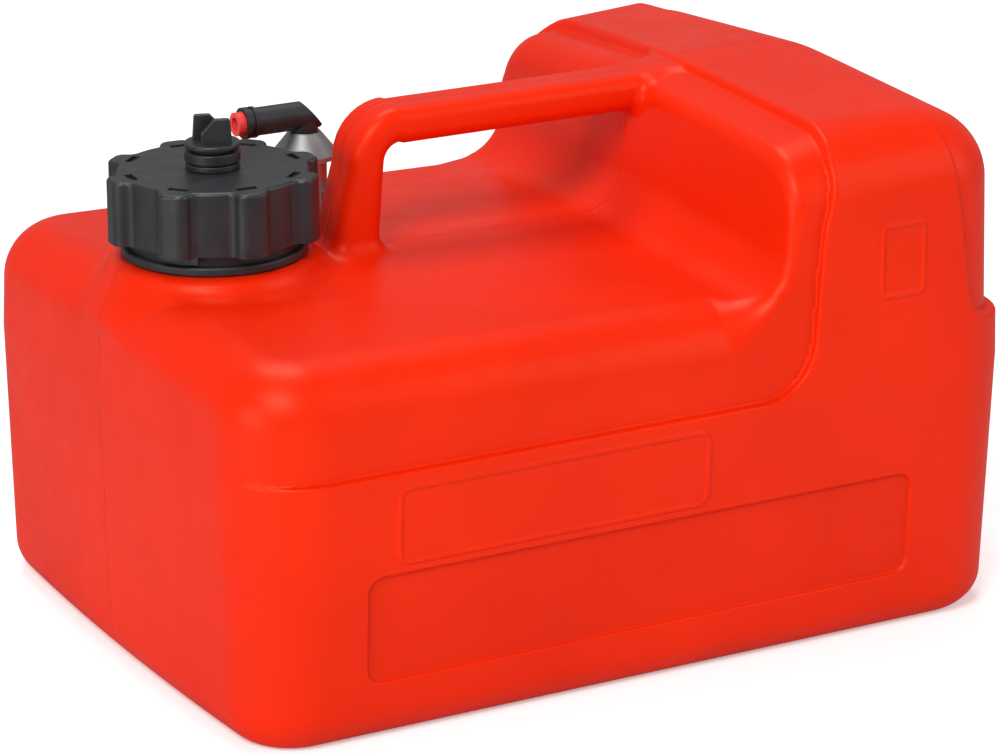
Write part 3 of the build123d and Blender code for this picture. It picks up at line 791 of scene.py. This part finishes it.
    def value(self, x: Array, y: Array, z: Array) -> Array:
        """Whole skin's field: body, handle, fittings, rounded floor edge, sunk side panels and raised frames.

        Args:
            x: X places.
            y: Y places.
            z: Z places.

        Returns:
            The distance field in millimetres, negative inside.
        """
        body = round_union(self.core(x, y, z), self.wrap(x, y, z), self.step_foot)
        body = round_union(body, self.handle(x, y, z), np.interp(x, self.foot_places, self.foot_rounds))
        body = self.fittings(body, x, y, z)
        body = round_meet(body, -z, self.floor_round)
        relief = self.panel_depth * smooth(0.5 - self.inside(x, z, self.panel) / self.panel_wall)
        relief = relief - self.raised(x, z, self.long_frame) - self.raised(x, z, self.small_frame) * (y < 0.0)
        return body + relief * (np.abs(y) > self.side_from)

    def inside(self, x: Array, z: Array, size: SideFrame) -> Array:
        """Distance to a frame's outline, negative inside it."""
        return plate(x - size.middle_x, z - size.middle_z, size.half_x, size.half_z, size.corner)

    def raised(self, x: Array, z: Array, size: SideFrame) -> Array:
        """Height of a bead along a frame's outline."""
        return self.bead * smooth(self.bead_crown - np.abs(self.inside(x, z, size)) / self.bead_flank)

    def slope(self, points: Array) -> Array:
        """Gradient of the field at places (n, 3) by central differences."""
        steps = np.eye(3) * PROBE
        ahead = [self.value(*(points + s).T) for s in steps]
        behind = [self.value(*(points - s).T) for s in steps]
        return (np.stack(ahead, axis=1) - np.stack(behind, axis=1)) / (2.0 * PROBE)

    def build(self) -> None:
        """Makes the skin: net on a grid, then a few steps p - f g / |g|^2 onto the surface, with exact normals."""
        coarse = 1.0
        xs, ys, zs = (spaced(runs, coarse) for runs in (GRID_X, GRID_Y, GRID_Z))
        value = self.value(xs[:, None, None], ys[None, :, None], zs[None, None, :])
        points, quads = surface_net(value, (xs, ys, zs))
        for _ in range(SETTLING_STEPS):
            slope = self.slope(points)
            pull = self.value(*points.T) / np.maximum((slope ** 2).sum(axis=1), LEAST_SLOPE)
            points = points - np.clip(pull, -LONGEST_PULL, LONGEST_PULL)[:, None] * slope
        slope = self.slope(points)
        normals = slope / np.maximum(np.linalg.norm(slope, axis=1, keepdims=True), 1e-6)
        for side in Side:
            self.half(side, points, quads, normals)

    def half(self, side: Side, points: Array, quads: Array, normals: Array) -> None:
        """Makes the object of one half of the skin, cut along the parting line.

        Args:
            side: which half.
            points: all places in millimetres.
            quads: all faces.
            normals: all normals.
        """
        kept = quads[points[quads, 1].mean(axis=1) * side.value > 0.0]
        used, faces = np.unique(kept, return_inverse=True)
        piece = mesh_piece(f"tank_skin_{side.name.lower()}", points[used] * MM, faces.reshape(-1, 4), normals[used])
        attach(piece, "tank")
        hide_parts("tank_shell")
        self.pieces.append(piece)
        LOG.info("%s: %d quads", piece.name, len(kept))

    def dress(self) -> None:
        """Gives the skin its moulded red finish."""
        finish = MouldedRed(self.panel).material()
        for piece in self.pieces:
            piece.data.materials.append(finish)


@dataclass
class Hardware:
    """Cap, vent, outlet and inner pieces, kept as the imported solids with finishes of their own."""

    nodes: dict[str, bpy.types.Object]

    def finishes(self) -> dict[str, bpy.types.Material]:
        """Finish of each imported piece.

        Returns:
            Materials by node name.
        """
        black = GrainedPlastic("grained_black", (0.010, 0.011, 0.012), (0.017, 0.018, 0.020)).material()
        cap = GrainedPlastic("cap_black", (0.012, 0.013, 0.015), (0.020, 0.022, 0.025), (0.32, 0.42)).material()
        inner = GrainedPlastic("inner_grey", (0.060, 0.060, 0.060), (0.085, 0.085, 0.085)).material()
        rubber = GrainedPlastic("seal_black", (0.018, 0.018, 0.018), (0.028, 0.028, 0.028), (0.62, 0.78)).material()
        tube = GrainedPlastic("tube_white", (0.62, 0.62, 0.57), (0.74, 0.74, 0.69), (0.30, 0.42)).material()
        plug = GrainedPlastic(
            "plug_red", (0.84, 0.05, 0.04), (0.92, 0.07, 0.05), rough=(0.24, 0.34), grain=1200.0, depth=0.00008,
        ).material()
        bright = TurnedMetal("bright_plate", (0.36, 0.37, 0.37), (0.40, 0.52)).material()
        brass = TurnedMetal("turned_brass", (0.78, 0.57, 0.26)).material()
        steel = TurnedMetal("spring_steel", (0.50, 0.50, 0.52), (0.28, 0.40)).material()
        mesh = TurnedMetal("filter_steel", (0.55, 0.55, 0.56), (0.30, 0.45)).material()
        return {
            "neck_ring": black, "cap_shell": cap, "inner_cap": cap, "cap_gasket": rubber, "vent_sleeve": cap,
            "sleeve_washer": rubber, "sleeve_nut": inner, "vent_screw": cap, "vent_o_ring": rubber,
            "port_insert": brass, "base_gasket": rubber, "outlet_base": bright, "outlet_elbow": black,
            "elbow_o_ring": rubber, "elbow_clip": steel, "pickup_tube": tube, "strainer_cage": inner,
            "strainer_mesh": mesh, "port_plug": plug,
        }

    def dress(self) -> None:
        """Puts each finish into its piece's material slot."""
        for name, finish in self.finishes().items():
            self.nodes[name].material_slots[0].material = finish
            LOG.info("%s: %s", name, finish.name)


# Studio


@dataclass(frozen=True)
class Lamp:
    """Square soft lamp: its name, place and side in metres, and power in watts."""

    name: str
    place: Triple
    size: float
    power: float


@dataclass
class Studio:
    """Pale floor, soft lamps, world and the camera."""

    azimuth: float = 28.9203
    elevation: float = 18.7439
    roll: float = -0.0221
    lens: float = 152.6
    place: Triple = (-0.85125, -1.55193, 0.69652)
    sensor: float = 36.0
    sight: float = 50.0
    floor_size: float = 9.0
    floor_tint: Colour = (0.90, 0.90, 0.90)
    floor_lift: float = 0.34
    floor_reflected: Colour = (0.35, 0.35, 0.35)
    world_light: float = 0.26
    world_reflected: float = 1.3
    aim: Triple = (0.0, 0.0, 0.11)
    lamps: tuple[Lamp, ...] = (
        Lamp("key_lamp", (-1.6, -1.6, 2.2), 1.1, 56.0),
        Lamp("side_lamp", (-2.3, -0.7, 0.35), 1.1, 18.0),
        Lamp("fill_lamp", (1.9, -1.7, 1.3), 1.6, 20.0),
        Lamp("top_lamp", (0.1, 0.7, 2.6), 1.2, 30.0),
    )

    def floor(self) -> None:
        """Wide floor that is white to the camera where it is lit, keeps the shadow and is darker in reflections."""
        size = self.floor_size
        corners = np.array([(-size, -size, 0.0), (size, -size, 0.0), (size, size, 0.0), (-size, size, 0.0)])
        piece = mesh_piece("studio_floor", corners, np.array([[0, 1, 2, 3]]))
        shade = Shade("studio_floor")
        shade.fixed(Roughness=0.9, Emission_Color=(1.0, 1.0, 1.0, 1.0))
        path = shade.tree.nodes.new("ShaderNodeLightPath")
        lift = shade.math("MULTIPLY", path.outputs["Is Camera Ray"], self.floor_lift)
        shade.join(lift, shade.shader.inputs["Emission Strength"])
        light = tuple(min(1.0, c + 0.01) for c in self.floor_tint)
        tone = shade.tint(shade.noise(3.0), self.floor_tint, light)
        dimmed = shade.tint(path.outputs["Is Glossy Ray"], (1.0, 1.0, 1.0), self.floor_reflected)
        mixed = shade.tree.nodes.new("ShaderNodeVectorMath")
        mixed.operation = "MULTIPLY"
        shade.join(tone, mixed.inputs[0])
        shade.join(dimmed, mixed.inputs[1])
        shade.join(mixed.outputs[0], shade.shader.inputs["Base Color"])
        piece.data.materials.append(shade.material)

    def world(self) -> None:
        """Even white surroundings: full strength to the camera, less as light and in reflections."""
        world = bpy.data.worlds.new("studio_world")
        bpy.context.scene.world = world
        world.use_nodes = True
        tree = world.node_tree
        background = tree.nodes["Background"]
        background.inputs["Color"].default_value = (1.0, 1.0, 1.0, 1.0)
        path = tree.nodes.new("ShaderNodeLightPath")
        seen = tree.nodes.new("ShaderNodeMath")
        seen.operation = "MAXIMUM"
        tree.links.new(path.outputs["Is Camera Ray"], seen.inputs[0])
        tree.links.new(path.outputs["Is Transmission Ray"], seen.inputs[1])
        level = tree.nodes.new("ShaderNodeMapRange")
        level.inputs["To Min"].default_value = self.world_light
        level.inputs["To Max"].default_value = 1.0
        tree.links.new(seen.outputs[0], level.inputs["Value"])
        reflected = tree.nodes.new("ShaderNodeMapRange")
        reflected.inputs["To Min"].default_value = 1.0
        reflected.inputs["To Max"].default_value = self.world_reflected
        tree.links.new(path.outputs["Is Glossy Ray"], reflected.inputs["Value"])
        strength = tree.nodes.new("ShaderNodeMath")
        strength.operation = "MULTIPLY"
        tree.links.new(level.outputs["Result"], strength.inputs[0])
        tree.links.new(reflected.outputs["Result"], strength.inputs[1])
        tree.links.new(strength.outputs[0], background.inputs["Strength"])

    def light(self, lamp: Lamp) -> None:
        """Sets up one lamp, aimed at the tank's middle."""
        data = bpy.data.lights.new(lamp.name, "AREA")
        data.size = lamp.size
        data.energy = lamp.power
        piece = bpy.data.objects.new(lamp.name, data)
        bpy.context.scene.collection.objects.link(piece)
        aim = Vector(self.aim) - Vector(lamp.place)
        piece.matrix_world = Matrix.Translation(lamp.place) @ aim.to_track_quat("-Z", "Y").to_matrix().to_4x4()

    def camera(self) -> None:
        """Camera at the fitted place, looking along the fitted direction with its small roll."""
        turn = math.radians(self.azimuth)
        tilt = math.radians(self.elevation)
        roll = math.radians(self.roll)
        forward = Vector((math.sin(turn) * math.cos(tilt), math.cos(turn) * math.cos(tilt), -math.sin(tilt)))
        right = Vector((math.cos(turn), -math.sin(turn), 0.0))
        up = right.cross(forward)
        rolled_right = right * math.cos(roll) + up * math.sin(roll)
        rolled_up = up * math.cos(roll) - right * math.sin(roll)
        basis = Matrix((rolled_right, rolled_up, -forward)).transposed()
        data = bpy.data.cameras.new("photo_camera")
        data.lens = self.lens
        data.sensor_width = self.sensor
        data.sensor_fit = "HORIZONTAL"
        data.clip_end = self.sight
        camera = bpy.data.objects.new("photo_camera", data)
        bpy.context.scene.collection.objects.link(camera)
        camera.matrix_world = Matrix.Translation(self.place) @ basis.to_4x4()
        bpy.context.scene.camera = camera

    def build(self) -> None:
        """Sets up the whole studio."""
        bpy.context.scene.view_settings.view_transform = "Standard"
        self.floor()
        self.world()
        for lamp in self.lamps:
            self.light(lamp)
        self.camera()


def main() -> None:
    """Builds the tank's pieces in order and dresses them."""
    logging.basicConfig(level=logging.INFO)
    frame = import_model()
    skin = TankSkin()
    skin.build()
    skin.dress()
    Hardware(frame["nodes"]).dress()
    Studio().build()


if __name__ == "__main__":
    main()
